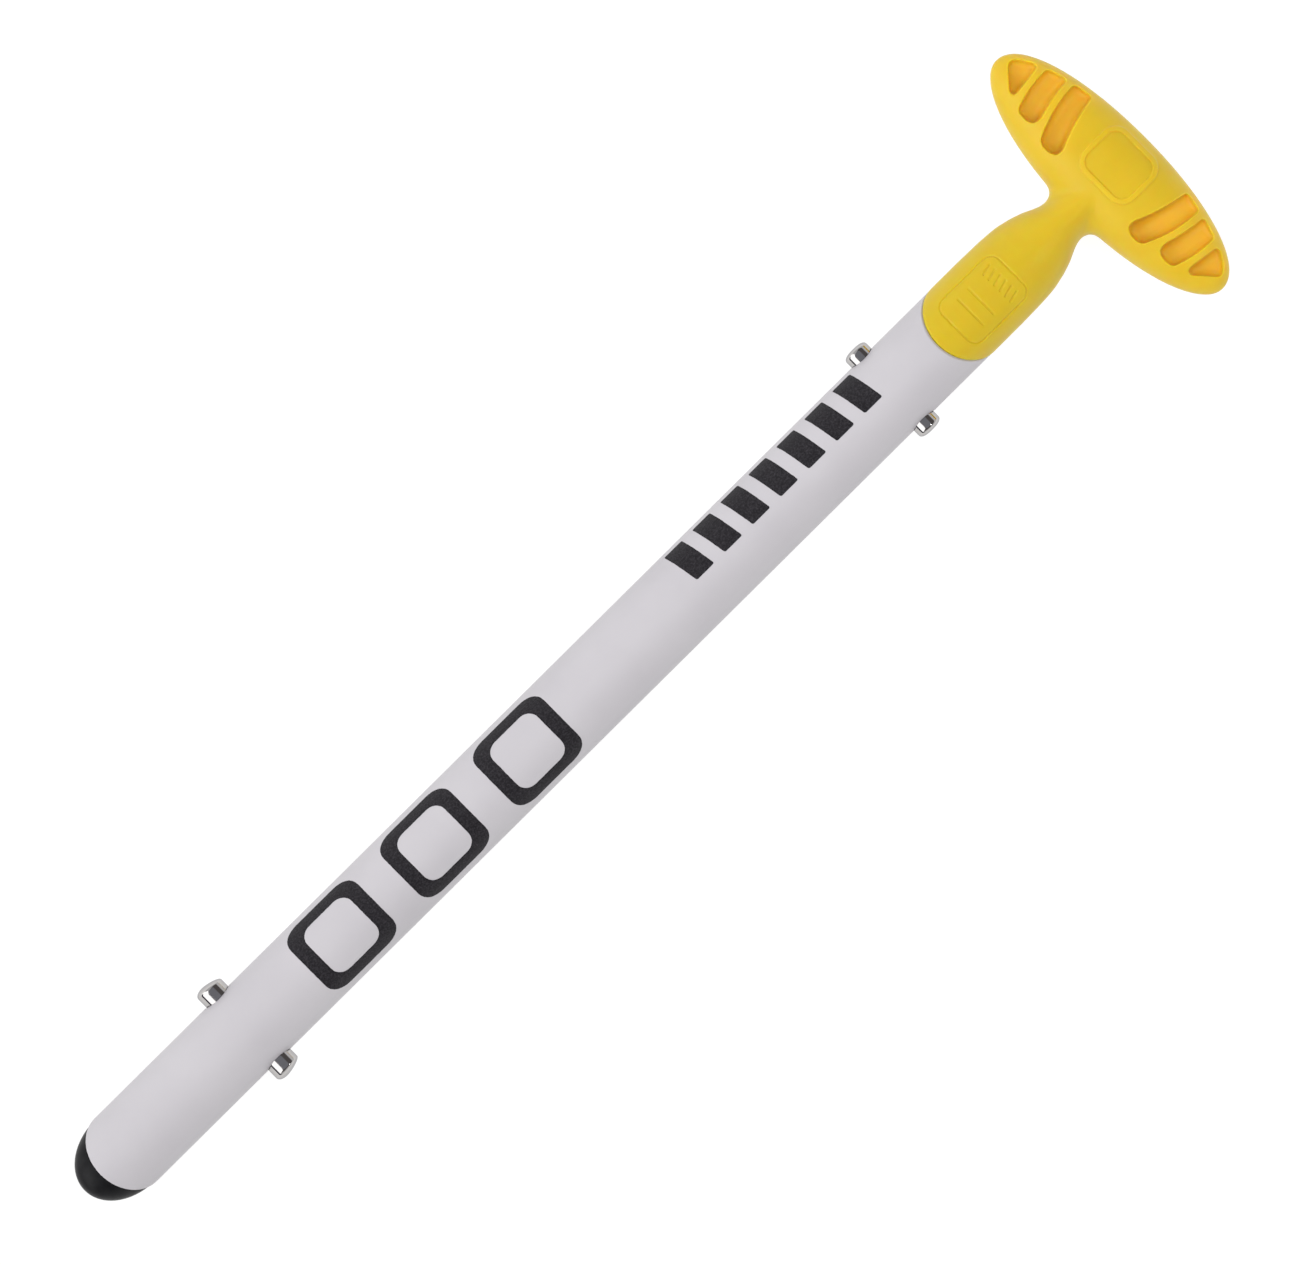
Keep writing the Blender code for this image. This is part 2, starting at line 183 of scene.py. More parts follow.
# ---------------------------------------------------------------- materials
class Nodes:
    """Short way to build one node material around its Principled shader."""

    def __init__(self, name, roughness, metallic=0.0, **inputs):
        self.material = bpy.data.materials.new(name)
        self.material.use_nodes = True
        self.tree = self.material.node_tree
        self.shader = self.tree.nodes["Principled BSDF"]
        self.shader.inputs["Roughness"].default_value = roughness
        self.shader.inputs["Metallic"].default_value = metallic
        for key, value in inputs.items():
            self.shader.inputs[key.replace("_", " ")].default_value = value
        self.place = self.add("ShaderNodeTexCoord").outputs["Object"]

    def add(self, kind, **settings):
        node = self.tree.nodes.new(kind)
        for key, value in settings.items():
            setattr(node, key, value)
        return node

    def link(self, source, target):
        self.tree.links.new(source, target)

    def stretch(self, scale):
        """Object coordinates scaled along each axis."""
        mapping = self.add("ShaderNodeMapping")
        mapping.inputs["Scale"].default_value = scale
        self.link(self.place, mapping.inputs["Vector"])
        return mapping.outputs["Vector"]

    def noise(self, scale, detail=3.0, vector=None, rough=0.5):
        node = self.add("ShaderNodeTexNoise")
        node.inputs["Scale"].default_value = scale
        node.inputs["Detail"].default_value = detail
        node.inputs["Roughness"].default_value = rough
        self.link(vector or self.place, node.inputs["Vector"])
        return node.outputs["Fac"]

    def ramp(self, source, stops):
        node = self.add("ShaderNodeValToRGB")
        elements = node.color_ramp.elements
        for k, (place, color) in enumerate(stops):
            element = elements[k] if k < 2 else elements.new(place)
            element.position = place
            element.color = (*color, 1.0)
        self.link(source, node.inputs["Fac"])
        return node.outputs["Color"]

    def span(self, source, low, high, start=0.0, end=1.0):
        """Number remapped from start..end to low..high."""
        node = self.add("ShaderNodeMapRange")
        for key, value in (("From Min", start), ("From Max", end), ("To Min", low), ("To Max", high)):
            node.inputs[key].default_value = value
        self.link(source, node.inputs["Value"])
        return node.outputs["Result"]

    def math(self, operation, a, b):
        node = self.add("ShaderNodeMath", operation=operation)
        for socket, value in zip(node.inputs, (a, b)):
            if isinstance(value, (int, float)):
                socket.default_value = value
            else:
                self.link(value, socket)
        return node.outputs["Value"]

    def mix(self, share, a, b):
        """Colour between a and b."""
        node = self.add("ShaderNodeMix", data_type="RGBA")
        self.link(share, node.inputs["Factor"])
        for name, color in (("A", a), ("B", b)):
            self.link(color, next(s for s in node.inputs if s.name == name and s.type == "RGBA"))
        return next(s for s in node.outputs if s.type == "RGBA")

    def along(self, start, end):
        """0 to 1 from one station along the shaft to another."""
        parts = self.add("ShaderNodeSeparateXYZ")
        self.link(self.place, parts.inputs[0])
        return self.span(parts.outputs["X"], 0.0, 1.0, at(start), at(end))

    def depth_in(self, centre, half, start, end):
        """0 to 1 from start to end, shares of the way out from a centre to an ellipsoid."""
        mapping = self.add("ShaderNodeMapping")
        mapping.inputs["Scale"].default_value = [1 / h for h in half]
        mapping.inputs["Location"].default_value = [-c / h for c, h in zip(centre, half)]
        self.link(self.place, mapping.inputs["Vector"])
        length = self.add("ShaderNodeVectorMath", operation="LENGTH")
        self.link(mapping.outputs["Vector"], length.inputs[0])
        return self.span(length.outputs["Value"], 0.0, 1.0, start, end)

    def bump(self, height, distance, strength=1.0):
        node = self.add("ShaderNodeBump")
        node.inputs["Distance"].default_value = distance
        node.inputs["Strength"].default_value = strength
        self.link(height, node.inputs["Height"])
        self.link(node.outputs["Normal"], self.shader.inputs["Normal"])

    def color(self, source):
        self.link(source, self.shader.inputs["Base Color"])

    def roughness(self, source):
        self.link(source, self.shader.inputs["Roughness"])


def tube_coating():
    m = Nodes("tube_coating", 0.4, Specular_IOR_Level=0.35)
    tone = m.noise(38.0, 4.0)
    m.color(m.ramp(tone, ((0.30, (0.509, 0.491, 0.513)), (0.72, (0.541, 0.523, 0.543)))))
    m.roughness(m.span(m.noise(160.0, 5.0), 0.36, 0.50))
    grain = m.noise(2600.0, 2.0)
    m.bump(grain, 0.02 * MM, 0.5)
    return m.material


def grip_plastic():
    m = Nodes("grip_plastic", 0.42, Subsurface_Weight=0.8, Subsurface_Scale=0.005,
              Specular_IOR_Level=0.3)
    m.shader.inputs["Subsurface Radius"].default_value = (1.0, 0.5, 0.08)
    tone = m.noise(55.0, 4.0)
    # barrel and bar are the same plastic; bar is painted lighter, painted light on the bar, and outside fades
    # from the barrel's colour to it between stations 445 and 485 mm
    barrel = m.ramp(tone, ((0.28, (0.600, 0.433, 0.014)), (0.74, (0.645, 0.473, 0.019))))
    bar = m.ramp(tone, ((0.28, (0.665, 0.462, 0.016)), (0.74, (0.712, 0.503, 0.024))))
    # inside: a brighter, more orange colour painted into the pockets, a painted glow of light bounced between
    # their walls
    inside = m.ramp(tone, ((0.28, (0.765, 0.455, 0.034)), (0.74, (0.810, 0.495, 0.042))))
    outside = m.mix(m.along(445 * MM, 485 * MM), barrel, bar)
    middle = BAR_X + (BAR_UP - BAR_DOWN) / 2
    # pocket: mask of that painted glow, 0 from 0.985 of the way out to the bar's ellipsoid and 1 deeper than
    # 0.92, so deep in the hollows
    pocket = m.depth_in((middle, 0.0, AXIS_Z), ((BAR_UP + BAR_DOWN) / 2, BAR_OUT, BAR_DEPTH), 0.985, 0.92)
    m.color(m.mix(pocket, outside, inside))
    m.roughness(m.span(m.noise(240.0, 4.0), 0.38, 0.52))
    m.bump(m.noise(1900.0, 3.0), 0.03 * MM, 0.6)
    return m.material


def plug_plastic():
    m = Nodes("plug_plastic", 0.45, Specular_IOR_Level=0.15)
    m.color(m.ramp(m.noise(300.0, 3.0), ((0.3, (0.006, 0.006, 0.007)), (0.75, (0.012, 0.012, 0.013)))))
    m.roughness(m.span(m.noise(420.0, 3.0), 0.34, 0.52))
    m.bump(m.noise(2100.0, 3.0), 0.03 * MM, 0.7)
    return m.material


def print_ink():
    m = Nodes("print_ink", 0.6, Specular_IOR_Level=0.25)
    fleck = m.noise(1500.0, 4.0, rough=0.7)
    m.color(m.ramp(fleck, ((0.42, (0.008, 0.007, 0.009)), (0.74, (0.042, 0.038, 0.044)))))
    m.roughness(m.span(fleck, 0.5, 0.75))
    m.bump(fleck, 0.03 * MM, 0.6)
    return m.material


def spring_steel():
    m = Nodes("spring_steel", 0.08, 1.0, Specular_Tint=(0.62, 0.62, 0.64, 1.0))
    brushed = m.noise(900.0, 3.0, m.stretch((0.12, 1.0, 1.0)))
    m.color(m.ramp(brushed, ((0.3, (0.50, 0.485, 0.475)), (0.75, (0.54, 0.525, 0.515)))))
    m.roughness(m.span(brushed, 0.05, 0.12))
    m.bump(brushed, 0.004 * MM, 0.3)
    return m.material


def floor_paper():
    m = Nodes("floor_paper", 0.9, Emission_Color=(1.0, 1.0, 1.0, 1.0), Emission_Strength=0.92)
    m.color(m.ramp(m.noise(9.0, 2.0), ((0.3, (0.12, 0.12, 0.12)), (0.8, (0.14, 0.14, 0.14)))))
    return m.material


COATING, YELLOW, BLACK, INK, STEEL = (tube_coating(), grip_plastic(), plug_plastic(), print_ink(),
                                      spring_steel())


# ---------------------------------------------------------------- mesh helpers
def add_piece(name, mesh, material, body, replaced=(), sharp=40.0):
    """Object from a mesh in world coordinates, riding on a body; edges past the sharp angle stay sharp."""
    mesh.shade_smooth()
    if sharp:
        mesh.set_sharp_from_angle(angle=math.radians(sharp))
    mesh.materials.clear()
    mesh.materials.append(material)
    obj = bpy.data.objects.new(name, mesh)
    bpy.context.scene.collection.objects.link(obj)
    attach(obj, body)
    if replaced:
        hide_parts(*replaced)
    return obj


def mesh_from(bm, name):
    """Mesh with its faces pointing out; the bmesh is used up."""
    bmesh.ops.recalc_face_normals(bm, faces=bm.faces)
    mesh = bpy.data.meshes.new(name)
    bm.to_mesh(mesh)
    bm.free()
    return mesh


def bridge(bm, rings, closed=False):
    """Quads between successive rings of equal length, and from the last back to the first if closed."""
    pairs = list(zip(rings, rings[1:]))
    if closed:
        pairs.append((rings[-1], rings[0]))
    for a, b in pairs:
        for k in range(len(a)):
            bm.faces.new((a[k], a[(k + 1) % len(a)], b[(k + 1) % len(a)], b[k]))


def fan(bm, edge, point):
    """Triangles from a ring to a point."""
    tip = bm.verts.new(point)
    for k in range(len(edge)):
        bm.faces.new((tip, edge[k], edge[(k + 1) % len(edge)]))


def leaning_ring(bm, station, radius, slope, count):
    """Ring about the shaft's axis on a plane that leans by slope."""
    ring = []
    for k in range(count):
        angle = 2 * math.pi * k / count
        z = radius * math.sin(angle)
        ring.append(bm.verts.new((at(station) - slope * z, radius * math.cos(angle), AXIS_Z + z)))
    return ring


def boolean(mesh, cutter, operation):
    """Mesh with an EXACT Boolean applied; both meshes are used up."""
    target = bpy.data.objects.new("boolean_target", mesh)
    tool = bpy.data.objects.new("boolean_tool", cutter)
    for obj in (target, tool):
        bpy.context.scene.collection.objects.link(obj)
    modifier = target.modifiers.new("cut", "BOOLEAN")
    modifier.operation = operation
    modifier.solver = "EXACT"
    modifier.object = tool
    graph = bpy.context.evaluated_depsgraph_get()
    result = bpy.data.meshes.new_from_object(target.evaluated_get(graph))
    for obj in (target, tool):
        bpy.data.objects.remove(obj)
    return result


def settle(points, distance, step):
    """Points moved onto the surface, in three goes of at most one step."""
    for _ in range(3):
        points = points - np.clip(distance(points), -step, step)[:, None] * gradient(distance, points)
    return points


def surface_net(distance, low, high, step):
    """Quad mesh of the surface where distance(points) is zero, inside a box."""
    axes = [np.arange(a, b + step, step) for a, b in zip(low, high)]
    shape = tuple(len(a) for a in axes)
    grid = np.stack(np.meshgrid(*axes, indexing="ij"), -1).reshape(-1, 3)
    d = distance(grid).reshape(shape)
    inside = d < 0
    cells = tuple(n - 1 for n in shape)
    corner_offsets = [(i, j, k) for i in (0, 1) for j in (0, 1) for k in (0, 1)]

    def corner(values, offset):
        return values[tuple(slice(o, o + n) for o, n in zip(offset, cells))]

    # One point in each cell that the surface crosses: the mean of the crossings on the cell's edges.
    filled = sum(corner(inside, o).astype(np.int8) for o in corner_offsets)
    index = np.argwhere((filled > 0) & (filled < 8))
    origin = np.array(low)
    total = np.zeros((len(index), 3))
    count = np.zeros(len(index))
    for a in corner_offsets:
        for axis in range(3):
            if a[axis]:
                continue
            b = tuple(o + (n == axis) for n, o in enumerate(a))
            da = d[tuple((index + a).T)]
            db = d[tuple((index + b).T)]
            crossed = (da < 0) != (db < 0)
            t = np.where(crossed, da / np.where(crossed, da - db, 1.0), 0.0)
            point = (index + a).astype(float)
            point[:, axis] += t
            total += point * crossed[:, None]
            count += crossed
    points = origin + total / count[:, None] * step

    # One quad around each grid edge that the surface crosses, facing out.
    number = np.full(cells, -1)
    number[tuple(index.T)] = np.arange(len(index))
    faces = []
    for axis in range(3):
        u, v = (axis + 1) % 3, (axis + 2) % 3
        first = [slice(None)] * 3
        second = [slice(None)] * 3
        first[axis] = slice(0, shape[axis] - 1)
        second[axis] = slice(1, shape[axis])
        changed = inside[tuple(first)] != inside[tuple(second)]
        edges = np.argwhere(changed)
        within = (edges[:, u] > 0) & (edges[:, v] > 0) & (edges[:, u] < cells[u]) & (edges[:, v] < cells[v])
        edges = edges[within]
        leaving = inside[tuple(edges.T)]
        quad = []
        for du, dv in ((-1, -1), (0, -1), (0, 0), (-1, 0)):
            cell = edges.copy()
            cell[:, u] += du
            cell[:, v] += dv
            quad.append(number[tuple(cell.T)])
        quad = np.stack(quad, 1)
        quad[~leaving] = quad[~leaving][:, ::-1]
        faces.append(quad)
    points = settle(points, distance, step)
    mesh = bpy.data.meshes.new("surface_net")
    mesh.from_pydata(points.tolist(), [], np.concatenate(faces).tolist())
    mesh.validate()
    return mesh


def refine(mesh, distance, chosen, step):
    """Split the chosen faces of a mesh three by three, and put the new points on the surface."""
    bm = bmesh.new()
    bm.from_mesh(mesh)
    hits = chosen(np.array([f.calc_center_median() for f in bm.faces]))
    edges = {e for face, hit in zip(bm.faces, hits) if hit for e in face.edges}
    bmesh.ops.subdivide_edges(bm, edges=sorted(edges, key=lambda e: e.index), cuts=2, use_grid_fill=True)
    bm.to_mesh(mesh)
    bm.free()
    points = settle(np.array([v.co for v in mesh.vertices]), distance, step)
    mesh.vertices.foreach_set("co", points.ravel())
    mesh.update()


def gradient(field, points):
    """Unit vector along which a field rises fastest."""
    slopes = slope_of(field, points)
    return slopes / np.maximum(np.linalg.norm(slopes, axis=1), 1e-9)[:, None]


def slope_of(field, points, h=0.05 * MM):
    """Slope of a field along each axis by central differences."""
    result = np.empty_like(points)
    for axis in range(3):
        shift = np.zeros(3)
        shift[axis] = h
        result[:, axis] = (field(points + shift) - field(points - shift)) / (2 * h)
    return result


def as_distance(field, points, least):
    """First-order distance to where a field is zero; least keeps it finite near the middle."""
    steepness = np.linalg.norm(slope_of(field, points), axis=1)
    return field(points) / np.maximum(steepness, least)


def soft_min(a, b, k):
    """Smaller of a and b, blended where they differ by less than k."""
    h = np.clip(0.5 + 0.5 * (b - a) / k, 0, 1)
    return b + (a - b) * h - k * h * (1 - h)


def soft_max(a, b, k):
    return -soft_min(-a, -b, k)


# ---------------------------------------------------------------- tube
def shaft_tube():
    """Tube with softened slanted rims and the four holes for the clips' buttons."""
    count = 160
    low_rim, high_rim = 0.42 * MM, 0.22 * MM
    turns = [math.pi / 2 * k / 4 for k in range(5)]
    bm = bmesh.new()
    middle = [CUT_START + (CUT_END - CUT_START) * k / 40 for k in range(1, 40)]
    outer = [(CUT_START + low_rim * (1 - math.cos(t)), TUBE_R - low_rim * (1 - math.sin(t))) for t in turns]
    outer += [(s, TUBE_R) for s in middle]
    outer += [(CUT_END - high_rim * (1 - math.sin(t)), TUBE_R - high_rim * (1 - math.cos(t))) for t in turns]
    inner = [(CUT_END, BORE_R)] + [(s, BORE_R) for s in reversed(middle)] + [(CUT_START, BORE_R)]
    bridge(bm, [leaning_ring(bm, s, r, CUT_SLOPE, count) for s, r in outer + inner], closed=True)
    mesh = mesh_from(bm, "shaft_tube_fine")
    for clip in CLIPS:
        mesh = boolean(mesh, hole_cutter(clip), "DIFFERENCE")
    return add_piece("shaft_tube_fine", mesh, COATING, "root", ("shaft_tube",), 35.0)


def hole_cutter(clip):
    """Rod along Y for the clip's two holes, a little longer than round away from the bend."""
    radius = (clip["high"] - clip["low"]) / 2 + GAP
    middle = (clip["low"] + clip["high"]) / 2
    away = 1 if clip["bend"] < clip["low"] else -1
    ends = sorted((middle, middle + away * HOLE_SPARE))
    outline = []
    for end, first in ((ends[1], -90), (ends[0], 90)):
        for k in range(33):
            angle = math.radians(first + 180 * k / 32)
            outline.append((at(end) + radius * math.cos(angle), AXIS_Z + radius * math.sin(angle)))
    bm = bmesh.new()
    plate(bm, outline, -2 * TUBE_R, 2 * TUBE_R)
    return mesh_from(bm, "hole_cutter")


# ---------------------------------------------------------------- end plug
def end_plug():
    """Slanted dome whose lip covers part of the tube's rim, on a hollow shank."""
    count, steps = 128, 28
    shank, hollow = BORE_R - 0.08 * MM, 11.5 * MM
    lip, base = TUBE_R - 0.5 * MM, CUT_START - 0.06 * MM
    end, bottom = base + 26 * MM, base + 3 * MM
    height = math.sqrt(base ** 2 - (CUT_SLOPE * lip) ** 2)      # the dome's tip then lies at station 0
    turns = [math.pi / 2 * k / steps for k in range(1, steps + 1)]
    profile = [(base - height * math.cos(t), lip * math.sin(t)) for t in turns]
    profile += [(base, shank), (end, shank), (end, hollow), (bottom, hollow)]
    bm = bmesh.new()
    rings = [leaning_ring(bm, s, r, CUT_SLOPE, count) for s, r in profile]
    bridge(bm, rings)
    fan(bm, rings[0], (at(base - height), 0.0, AXIS_Z))
    fan(bm, rings[-1], (at(bottom), 0.0, AXIS_Z))
    return add_piece("end_plug_fine", mesh_from(bm, "end_plug_fine"), BLACK, "root",
                     ("end_plug",), 50.0)


# ---------------------------------------------------------------- grip
def smooth_profile(column):
    """Fine table of a stem half-width against station, with its corners eased."""
    stations = np.arange(STEM[0, 0], STEM[-1, 0], 0.25 * MM)
    values = np.interp(stations, STEM[:, 0], STEM[:, column])
    window = np.hanning(15)
    padded = np.pad(values, 7, mode="edge")
    return stations, np.convolve(padded, window / window.sum(), mode="valid")


STEM_Y = smooth_profile(1)
STEM_Z = smooth_profile(2)
BAR_LEAST, STEM_LEAST = 20.0, 30.0      # least steepness of the two fields, per metre
FINE_RIM, FINE_RING, FINE_DEPTH = 0.9 * MM, 1.6 * MM, 8.0 * MM


def bar_field(p):
    """Negative inside the T-bar: a long ellipsoid with slightly squared sections."""
    x, y, z = (p - (BAR_X, 0.0, AXIS_Z)).T
    half = np.where(x > 0, BAR_UP, BAR_DOWN)
    power = 2.05 + 0.05 * np.clip(x / (6 * MM), -1, 1)
    section = (np.abs(x / half) ** BAR_POWER + np.abs(z / BAR_DEPTH) ** BAR_POWER) ** (power / BAR_POWER)
    return section + np.abs(y / BAR_OUT) ** power - 1


def stem_field(p):
    """Negative inside the neck and barrel, whose sections are ellipses."""
    station = p[:, 0] - TIP_X
    half_y, half_z = np.interp(station, *STEM_Y), np.interp(station, *STEM_Z)
    return np.hypot(p[:, 1] / half_y, (p[:, 2] - AXIS_Z) / half_z) - 1


def arc_band(u, v, centre, inner, outer):
    """Signed distance to the band between two circles about one centre."""
    r = np.hypot(u - centre[0], v - centre[1])
    return np.maximum(inner - r, r - outer)


def half_plane(u, v, a, b):
    """Signed distance to the line from a to b, negative on its left."""
    du, dv = b[0] - a[0], b[1] - a[1]
    return ((v - a[1]) * -du + (u - a[0]) * dv) / math.hypot(du, dv)


def outline_distance(u, v):
    """First-order distance to the bar's outline, in the plane of the T."""
    return as_distance(bar_field, np.stack((BAR_X + v, u, np.full_like(u, AXIS_Z)), 1), BAR_LEAST)


def round_max(a, b, radius):
    """Signed distance to the overlap of two shapes, with the corner between them rounded."""
    outside = np.hypot(np.maximum(a + radius, 0), np.maximum(b + radius, 0))
    return np.minimum(-radius, np.maximum(a, b)) + outside


def pockets(u, v, depth):
    """Signed distance to the nearest of the three pockets on one side of the bar, front and back."""
    edge = outline_distance(u, v)
    plans = []
    for pocket in LONG_POCKETS:
        ends = round_max(edge + pocket["margin"], pocket["low"] - v, POCKET_CORNER)
        band = arc_band(u, v, pocket["centre"], pocket["inner"], pocket["outer"])
        plan = round_max(band, ends, POCKET_CORNER)
        plans.append((round_max(plan, half_plane(u, v, *pocket["corner"]), POCKET_CORNER), pocket["web"]))
    end = round_max(half_plane(u, v, *END_SIDE), half_plane(u, v, *END_UNDER), END_LOW_CORNER)
    plans.append((round_max(end, edge + END_MARGIN, END_CORNER), END_WEB))
    draft = POCKET_DRAFT * (BAR_DEPTH - depth)
    thinning = 1 - (v / WEB_SPAN) ** 2
    return np.minimum.reduce([soft_max(plan + draft, web * thinning - depth, POCKET_FILLET)
                              for plan, web in plans])


def raised_ring(distance, half_width, soft):
    """1 on a band about distance zero, falling smoothly to 0 at its edges."""
    t = np.clip((half_width + soft - np.abs(distance)) / (2 * soft), 0, 1)
    return t * t * (3 - 2 * t)


def rounded_box_distance(u, v, half_u, half_v, corner):
    """Signed distance to a rectangle with rounded corners."""
    qu, qv = np.abs(u) - half_u + corner, np.abs(v) - half_v + corner
    return np.hypot(np.maximum(qu, 0), np.maximum(qv, 0)) + np.minimum(np.maximum(qu, qv), 0) - corner


def panel_distance(x, y):
    """Signed distance to the middle of the raised ring on the bar's front and back."""
    return rounded_box_distance(y, x - PANEL_CENTRE, *PANEL_HALF, PANEL_CORNER)


def badge(station, y):
    """1 in the grooves of the plain badge on the barrel: a rounded frame, six strokes and two lines."""
    around = BORE_R * np.arcsin(np.clip(y / BADGE_ROUND, -1, 1))
    up = station - BADGE_STATION
    shapes = [rounded_box_distance(around, up, *BADGE_HALF, BADGE_CORNER)]
    high = up - BADGE_STROKE_UP
    for k in range(BADGE_STROKES):
        out = around - (k - (BADGE_STROKES - 1) / 2) * BADGE_PITCH - BADGE_LEAN * high
        shapes.append(rounded_box_distance(out, high, BADGE_THIN, BADGE_STROKE_HALF, BADGE_THIN))
    for low in BADGE_LINES_UP:
        shapes.append(rounded_box_distance(around, up - low, BADGE_LINE_HALF, BADGE_THIN, BADGE_THIN))
    return np.maximum.reduce([raised_ring(shape, BADGE_LINE, BADGE_SOFT) for shape in shapes])


def fine_places(p):
    """Where the grip's mesh is made finer: the pockets' rims, the raised rings and the badge."""
    x, y, z = (p - (BAR_X, 0.0, AXIS_Z)).T
    station = p[:, 0] - TIP_X
    rims = np.abs(pockets(np.abs(y), x, np.abs(z))) < FINE_RIM
    rims &= np.abs(as_distance(bar_field, p, BAR_LEAST)) < FINE_RIM
    rings = (np.abs(panel_distance(x, y)) < FINE_RING) & (np.abs(z) > FINE_DEPTH)
    return rims | rings | ((badge(station, y) > 0) & (z > BLEND_START) & (station < BADGE_TOP))


def grip_distance(p):
    """Signed distance to the whole moulding."""
    x, y, z = (p - (BAR_X, 0.0, AXIS_Z)).T
    station = p[:, 0] - TIP_X
    bar = as_distance(bar_field, p, BAR_LEAST)
    stem = as_distance(stem_field, p, STEM_LEAST)
    stem = soft_max(stem, station - STEM[-1, 0] + STEM_ROUND, STEM_ROUND)
    leaning = (CUT_END + CUT_GAP - CUT_SLOPE * z - station) / math.hypot(1.0, CUT_SLOPE)
    stem = soft_max(stem, leaning, RIM_ROUND)
    front = np.clip((np.abs(z) - BLEND_START) / BLEND_SPAN, 0, 1)
    body = soft_min(bar, stem, NECK_BLEND[0] + (NECK_BLEND[1] - NECK_BLEND[0]) * front)

    body = soft_max(body, -pockets(np.abs(y), x, np.abs(z)), POCKET_RIM)
    panel = raised_ring(panel_distance(x, y), PANEL_LINE, PANEL_SOFT)
    body = body - PANEL_RAISE * panel * (np.abs(z) > 4 * MM)
    body = body + BADGE_DEPTH * badge(station, y) * (z > 0)

    radius = np.hypot(y, z)
    spigot = np.maximum(radius - SPIGOT_R, np.maximum(SPIGOT_START - station, station - SPIGOT_END))
    body = np.minimum(body, spigot)
    core = np.maximum(radius - CORE_R, station - SPIGOT_END)
    return np.maximum(body, -core)


def t_grip():
    """The whole grip as one moulding, hollow inside the tube and the barrel."""
    low = np.array((at(SPIGOT_START), -BAR_OUT, AXIS_Z - TUBE_R)) - 1.5 * MM
    high = np.array((TOP_X, BAR_OUT, AXIS_Z + TUBE_R)) + 1.5 * MM
    step = 0.55 * MM
    mesh = surface_net(grip_distance, low, high, step)
    refine(mesh, grip_distance, fine_places, step)
    return add_piece("t_grip_fine", mesh, YELLOW, "root", ("t_grip",), 0)


# ---------------------------------------------------------------- printed marks
def on_tube(station, arc, radius):
    """Point on the tube; arc is the distance round it from the front line, towards +Y."""
    angle = arc / TUBE_R
    return Vector((at(station), radius * math.sin(angle), AXIS_Z + radius * math.cos(angle)))


def rough(point, k):
    """Small wander of a printed edge."""
    return 0.07 * MM * noise.noise(Vector((point[0], point[1], 0.0)) * 900.0 + Vector((0.0, 0.0, k * 7.3)))


def grid_sheet(name, rows):
    """Thin closed sheet on a grid of (station, arc) rows, laid on the tube."""
    bm = bmesh.new()
    layers = []
    for radius in (PRINT_R, PRINT_R - PRINT_DEPTH):
        layers.append([[bm.verts.new(on_tube(s, a, radius)) for s, a in row] for row in rows])
    for layer in layers:
        for low, high in zip(layer, layer[1:]):
            for k in range(len(low) - 1):
                bm.faces.new((low[k], low[k + 1], high[k + 1], high[k]))
    rims = []
    for layer in layers:
        left, right = [row[0] for row in layer[1:-1]], [row[-1] for row in layer[1:-1]]
        rims.append(layer[0] + right + layer[-1][::-1] + left[::-1])
    bridge(bm, rims)
    return mesh_from(bm, name)


def rounded_rectangle(centre, half_s, half_arc, corner, per_side):
    """Closed outline in (station, arc), with arcs at its corners and even points along its sides."""
    outline = []
    for turn, (ds, da) in enumerate(((1, 1), (-1, 1), (-1, -1), (1, -1))):
        for k in range(9):
            angle = math.pi / 2 * (turn + k / 8)
            outline.append((ds * (half_s - corner) + corner * math.cos(angle),
                            da * (half_arc - corner) + corner * math.sin(angle)))
    dense = []
    spacing = 2 * (half_s + half_arc) / per_side
    for a, b in zip(outline, outline[1:] + outline[:1]):
        steps = max(1, round(math.hypot(b[0] - a[0], b[1] - a[1]) / spacing))
        dense += [(a[0] + (b[0] - a[0]) * k / steps, a[1] + (b[1] - a[1]) * k / steps) for k in range(steps)]
    return [(centre[0] + s, centre[1] + a) for s, a in dense]


def print_mesh(name, rings):
    """Thin closed sheet between successive outlines of equal length, laid on the tube."""
    bm = bmesh.new()
    top = [[bm.verts.new(on_tube(s, a, PRINT_R)) for s, a in ring] for ring in rings]
    bottom = [[bm.verts.new(on_tube(s, a, PRINT_R - PRINT_DEPTH)) for s, a in ring] for ring in rings]
    bridge(bm, top)
    bridge(bm, bottom)
    bridge(bm, [top[0], bottom[0]])
    bridge(bm, [top[-1], bottom[-1]])
    return mesh_from(bm, name)


def blend_rings(outer, inner, count, seed):
    """Outlines from outer to inner; the first and the last wander slightly, as ink does."""
    rings = []
    for k in range(count + 1):
        t = k / count
        ring = [(a[0] + (b[0] - a[0]) * t, a[1] + (b[1] - a[1]) * t) for a, b in zip(outer, inner)]
        if k in (0, count):
            ring = [(s + rough((s, a), seed), a + rough((a, s), seed + 1)) for s, a in ring]
        rings.append(ring)
    return rings


def printed_frames():
    """Three plain rounded frames on the lower half of the tube."""
    for k, station in enumerate(FRAME_STATIONS):
        centre = (station * MM, 0.2 * MM)
        outer = rounded_rectangle(centre, *FRAME_HALF, FRAME_CORNER, per_side=120)
        inner = [tuple(c + (v - c) * share for v, c, share in zip(point, centre, FRAME_HOLE))
                 for point in outer]
        name = f"printed_frame_{k + 1}"
        add_piece(name, print_mesh(name, blend_rings(outer, inner, 9, k)), INK, "root")


